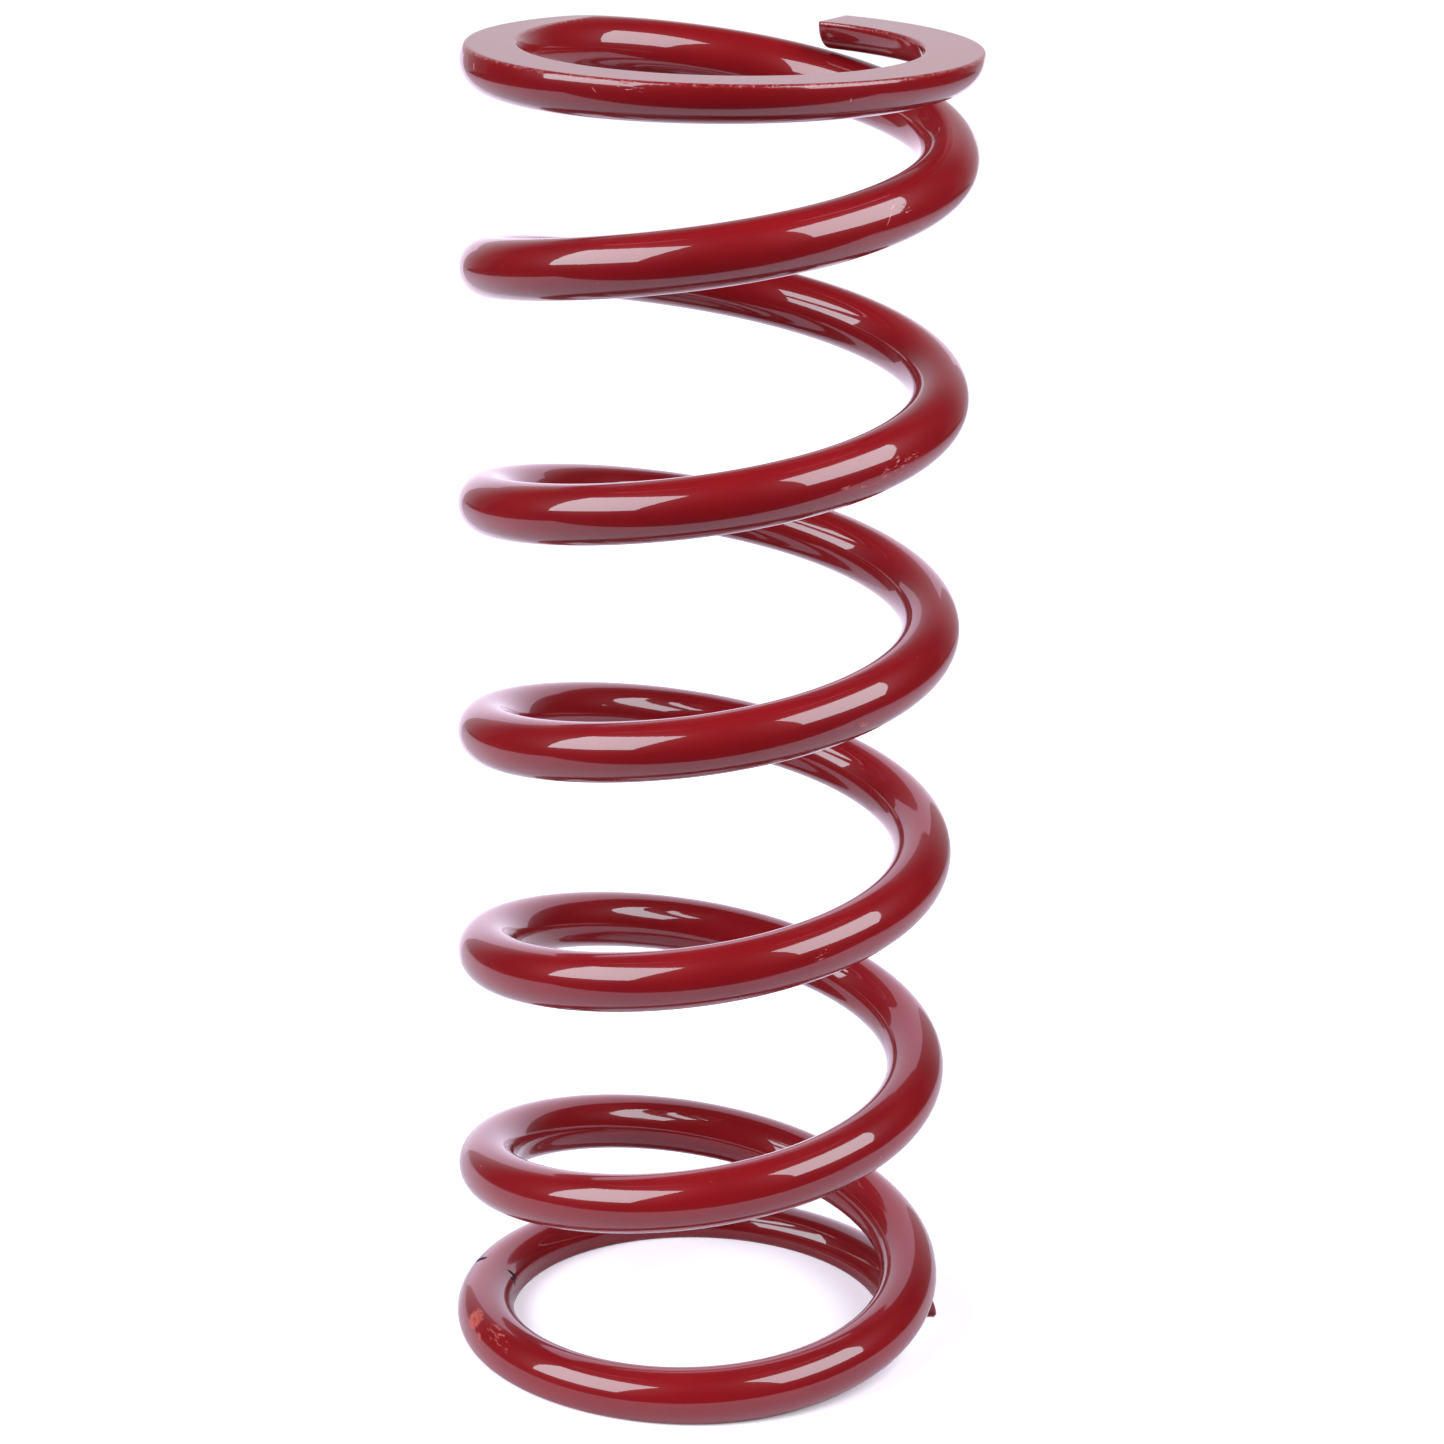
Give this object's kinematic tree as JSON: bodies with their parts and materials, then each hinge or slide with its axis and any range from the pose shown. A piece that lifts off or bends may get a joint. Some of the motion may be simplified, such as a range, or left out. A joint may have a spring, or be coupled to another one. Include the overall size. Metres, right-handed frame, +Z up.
{
  "type": "coil spring",
  "caption": "Coil-over compression spring of round steel wire, right-hand wound, with closed and ground ends and a glossy deep red powder coat.",
  "frame": {"origin": "on the coil axis, in the plane of the lower ground face", "axes": "+Z up the coil axis from the lower seat to the upper seat; -Y is the front; the wire's lower tip lies just past +X towards +Y"},
  "size_m": [0.0758, 0.0758, 0.2032],
  "materials": {
    "powder_coat": "glossy"
  },
  "bodies": {
    "lower_end": {"lower_seat_coil": "powder_coat", "lower_closing_coil": "powder_coat"},
    "upper_end": {"upper_closing_coil": "powder_coat", "upper_seat_coil": "powder_coat"},
    "coil_01": {"active_wire_01": "powder_coat"},
    "coil_02": {"active_wire_02": "powder_coat"},
    "coil_03": {"active_wire_03": "powder_coat"},
    "coil_04": {"active_wire_04": "powder_coat"},
    "coil_05": {"active_wire_05": "powder_coat"},
    "coil_06": {"active_wire_06": "powder_coat"},
    "coil_07": {"active_wire_07": "powder_coat"},
    "coil_08": {"active_wire_08": "powder_coat"},
    "coil_09": {"active_wire_09": "powder_coat"},
    "coil_10": {"active_wire_10": "powder_coat"},
    "coil_11": {"active_wire_11": "powder_coat"},
    "coil_12": {"active_wire_12": "powder_coat"},
    "coil_13": {"active_wire_13": "powder_coat"},
    "coil_14": {"active_wire_14": "powder_coat"},
    "coil_15": {"active_wire_15": "powder_coat"},
    "coil_16": {"active_wire_16": "powder_coat"},
    "coil_17": {"active_wire_17": "powder_coat"},
    "coil_18": {"active_wire_18": "powder_coat"},
    "coil_19": {"active_wire_19": "powder_coat"},
    "coil_20": {"active_wire_20": "powder_coat"},
    "coil_21": {"active_wire_21": "powder_coat"},
    "coil_22": {"active_wire_22": "powder_coat"},
    "coil_23": {"active_wire_23": "powder_coat"},
    "coil_24": {"active_wire_24": "powder_coat"},
    "coil_25": {"active_wire_25": "powder_coat"},
    "coil_26": {"active_wire_26": "powder_coat"},
    "coil_27": {"active_wire_27": "powder_coat"},
    "coil_28": {"active_wire_28": "powder_coat"},
    "coil_29": {"active_wire_29": "powder_coat"},
    "coil_30": {"active_wire_30": "powder_coat"},
    "coil_31": {"active_wire_31": "powder_coat"},
    "coil_32": {"active_wire_32": "powder_coat"}
  },
  "joints": [
    {"name": "compression", "type": "slide", "parent": "lower_end", "child": "upper_end", "axis": [0, 0, -1], "range_m": [0, 0.11], "stiffness_N_per_m": 40000},
    {"name": "coil_01_travel", "type": "slide", "parent": "lower_end", "child": "coil_01", "axis": [0, 0, -1], "range_m": [0, 0.00172]},
    {"name": "coil_02_travel", "type": "slide", "parent": "lower_end", "child": "coil_02", "axis": [0, 0, -1], "range_m": [0, 0.00516]},
    {"name": "coil_03_travel", "type": "slide", "parent": "lower_end", "child": "coil_03", "axis": [0, 0, -1], "range_m": [0, 0.00859]},
    {"name": "coil_04_travel", "type": "slide", "parent": "lower_end", "child": "coil_04", "axis": [0, 0, -1], "range_m": [0, 0.01203]},
    {"name": "coil_05_travel", "type": "slide", "parent": "lower_end", "child": "coil_05", "axis": [0, 0, -1], "range_m": [0, 0.01547]},
    {"name": "coil_06_travel", "type": "slide", "parent": "lower_end", "child": "coil_06", "axis": [0, 0, -1], "range_m": [0, 0.01891]},
    {"name": "coil_07_travel", "type": "slide", "parent": "lower_end", "child": "coil_07", "axis": [0, 0, -1], "range_m": [0, 0.02234]},
    {"name": "coil_08_travel", "type": "slide", "parent": "lower_end", "child": "coil_08", "axis": [0, 0, -1], "range_m": [0, 0.02578]},
    {"name": "coil_09_travel", "type": "slide", "parent": "lower_end", "child": "coil_09", "axis": [0, 0, -1], "range_m": [0, 0.02922]},
    {"name": "coil_10_travel", "type": "slide", "parent": "lower_end", "child": "coil_10", "axis": [0, 0, -1], "range_m": [0, 0.03266]},
    {"name": "coil_11_travel", "type": "slide", "parent": "lower_end", "child": "coil_11", "axis": [0, 0, -1], "range_m": [0, 0.03609]},
    {"name": "coil_12_travel", "type": "slide", "parent": "lower_end", "child": "coil_12", "axis": [0, 0, -1], "range_m": [0, 0.03953]},
    {"name": "coil_13_travel", "type": "slide", "parent": "lower_end", "child": "coil_13", "axis": [0, 0, -1], "range_m": [0, 0.04297]},
    {"name": "coil_14_travel", "type": "slide", "parent": "lower_end", "child": "coil_14", "axis": [0, 0, -1], "range_m": [0, 0.04641]},
    {"name": "coil_15_travel", "type": "slide", "parent": "lower_end", "child": "coil_15", "axis": [0, 0, -1], "range_m": [0, 0.04984]},
    {"name": "coil_16_travel", "type": "slide", "parent": "lower_end", "child": "coil_16", "axis": [0, 0, -1], "range_m": [0, 0.05328]},
    {"name": "coil_17_travel", "type": "slide", "parent": "lower_end", "child": "coil_17", "axis": [0, 0, -1], "range_m": [0, 0.05672]},
    {"name": "coil_18_travel", "type": "slide", "parent": "lower_end", "child": "coil_18", "axis": [0, 0, -1], "range_m": [0, 0.06016]},
    {"name": "coil_19_travel", "type": "slide", "parent": "lower_end", "child": "coil_19", "axis": [0, 0, -1], "range_m": [0, 0.06359]},
    {"name": "coil_20_travel", "type": "slide", "parent": "lower_end", "child": "coil_20", "axis": [0, 0, -1], "range_m": [0, 0.06703]},
    {"name": "coil_21_travel", "type": "slide", "parent": "lower_end", "child": "coil_21", "axis": [0, 0, -1], "range_m": [0, 0.07047]},
    {"name": "coil_22_travel", "type": "slide", "parent": "lower_end", "child": "coil_22", "axis": [0, 0, -1], "range_m": [0, 0.07391]},
    {"name": "coil_23_travel", "type": "slide", "parent": "lower_end", "child": "coil_23", "axis": [0, 0, -1], "range_m": [0, 0.07734]},
    {"name": "coil_24_travel", "type": "slide", "parent": "lower_end", "child": "coil_24", "axis": [0, 0, -1], "range_m": [0, 0.08078]},
    {"name": "coil_25_travel", "type": "slide", "parent": "lower_end", "child": "coil_25", "axis": [0, 0, -1], "range_m": [0, 0.08422]},
    {"name": "coil_26_travel", "type": "slide", "parent": "lower_end", "child": "coil_26", "axis": [0, 0, -1], "range_m": [0, 0.08766]},
    {"name": "coil_27_travel", "type": "slide", "parent": "lower_end", "child": "coil_27", "axis": [0, 0, -1], "range_m": [0, 0.09109]},
    {"name": "coil_28_travel", "type": "slide", "parent": "lower_end", "child": "coil_28", "axis": [0, 0, -1], "range_m": [0, 0.09453]},
    {"name": "coil_29_travel", "type": "slide", "parent": "lower_end", "child": "coil_29", "axis": [0, 0, -1], "range_m": [0, 0.09797]},
    {"name": "coil_30_travel", "type": "slide", "parent": "lower_end", "child": "coil_30", "axis": [0, 0, -1], "range_m": [0, 0.10141]},
    {"name": "coil_31_travel", "type": "slide", "parent": "lower_end", "child": "coil_31", "axis": [0, 0, -1], "range_m": [0, 0.10484]},
    {"name": "coil_32_travel", "type": "slide", "parent": "lower_end", "child": "coil_32", "axis": [0, 0, -1], "range_m": [0, 0.10828]}
  ],
  "couplings": [
    {"joint": "coil_01_travel", "follows": "compression", "ratio": 0.015625},
    {"joint": "coil_02_travel", "follows": "compression", "ratio": 0.046875},
    {"joint": "coil_03_travel", "follows": "compression", "ratio": 0.078125},
    {"joint": "coil_04_travel", "follows": "compression", "ratio": 0.10938},
    {"joint": "coil_05_travel", "follows": "compression", "ratio": 0.14062},
    {"joint": "coil_06_travel", "follows": "compression", "ratio": 0.17188},
    {"joint": "coil_07_travel", "follows": "compression", "ratio": 0.20312},
    {"joint": "coil_08_travel", "follows": "compression", "ratio": 0.23438},
    {"joint": "coil_09_travel", "follows": "compression", "ratio": 0.26562},
    {"joint": "coil_10_travel", "follows": "compression", "ratio": 0.29688},
    {"joint": "coil_11_travel", "follows": "compression", "ratio": 0.32812},
    {"joint": "coil_12_travel", "follows": "compression", "ratio": 0.35938},
    {"joint": "coil_13_travel", "follows": "compression", "ratio": 0.39062},
    {"joint": "coil_14_travel", "follows": "compression", "ratio": 0.42188},
    {"joint": "coil_15_travel", "follows": "compression", "ratio": 0.45312},
    {"joint": "coil_16_travel", "follows": "compression", "ratio": 0.48438},
    {"joint": "coil_17_travel", "follows": "compression", "ratio": 0.51562},
    {"joint": "coil_18_travel", "follows": "compression", "ratio": 0.54688},
    {"joint": "coil_19_travel", "follows": "compression", "ratio": 0.57812},
    {"joint": "coil_20_travel", "follows": "compression", "ratio": 0.60938},
    {"joint": "coil_21_travel", "follows": "compression", "ratio": 0.64062},
    {"joint": "coil_22_travel", "follows": "compression", "ratio": 0.67188},
    {"joint": "coil_23_travel", "follows": "compression", "ratio": 0.70312},
    {"joint": "coil_24_travel", "follows": "compression", "ratio": 0.73438},
    {"joint": "coil_25_travel", "follows": "compression", "ratio": 0.76562},
    {"joint": "coil_26_travel", "follows": "compression", "ratio": 0.79688},
    {"joint": "coil_27_travel", "follows": "compression", "ratio": 0.82812},
    {"joint": "coil_28_travel", "follows": "compression", "ratio": 0.85938},
    {"joint": "coil_29_travel", "follows": "compression", "ratio": 0.89062},
    {"joint": "coil_30_travel", "follows": "compression", "ratio": 0.92188},
    {"joint": "coil_31_travel", "follows": "compression", "ratio": 0.95312},
    {"joint": "coil_32_travel", "follows": "compression", "ratio": 0.98438}
  ]
}
